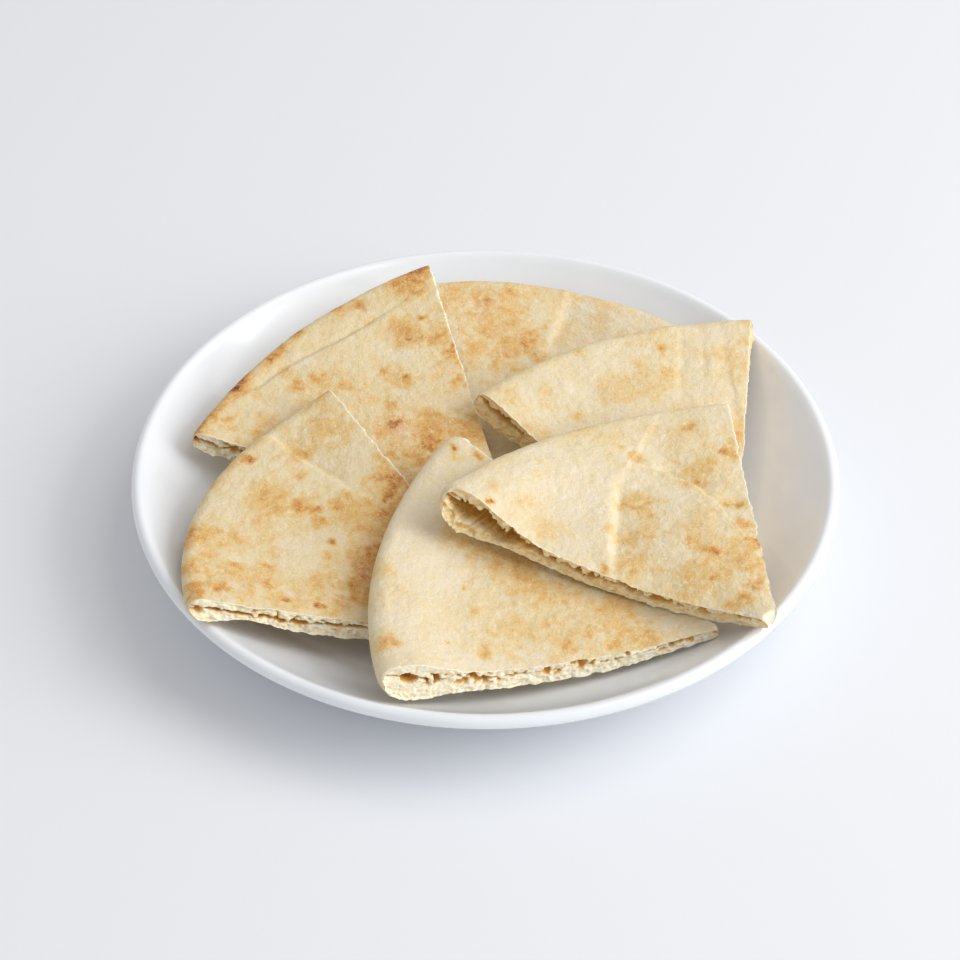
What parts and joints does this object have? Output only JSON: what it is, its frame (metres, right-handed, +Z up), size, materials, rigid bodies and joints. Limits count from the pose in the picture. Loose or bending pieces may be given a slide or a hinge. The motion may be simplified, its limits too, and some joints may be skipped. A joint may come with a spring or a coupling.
{
  "type": "pita bread on a plate",
  "caption": "Round pita cut into wedges, piled loosely on a white coupe plate; each wedge is a folded baked sheet with its pocket open at the cut sides.",
  "frame": {"origin": "centre of the plate's foot ring, on the table", "axes": "+Z up; the plate's front, where the puffed wedge corner lies, is towards -Y; +X to the right"},
  "size_m": [0.21, 0.21, 0.0479],
  "materials": {
    "white_glaze": "glossy white glaze",
    "pita_crust": "matte baked crust, cream with golden toasted patches, white crumb where it is cut"
  },
  "bodies": {
    "root": {"plate": "white_glaze", "pita_wedge_back": "pita_crust", "pita_wedge_back_left": "pita_crust", "pita_wedge_front_left": "pita_crust", "pita_wedge_front": "pita_crust", "pita_wedge_back_right": "pita_crust", "pita_wedge_right_top": "pita_crust"}
  },
  "joints": []
}
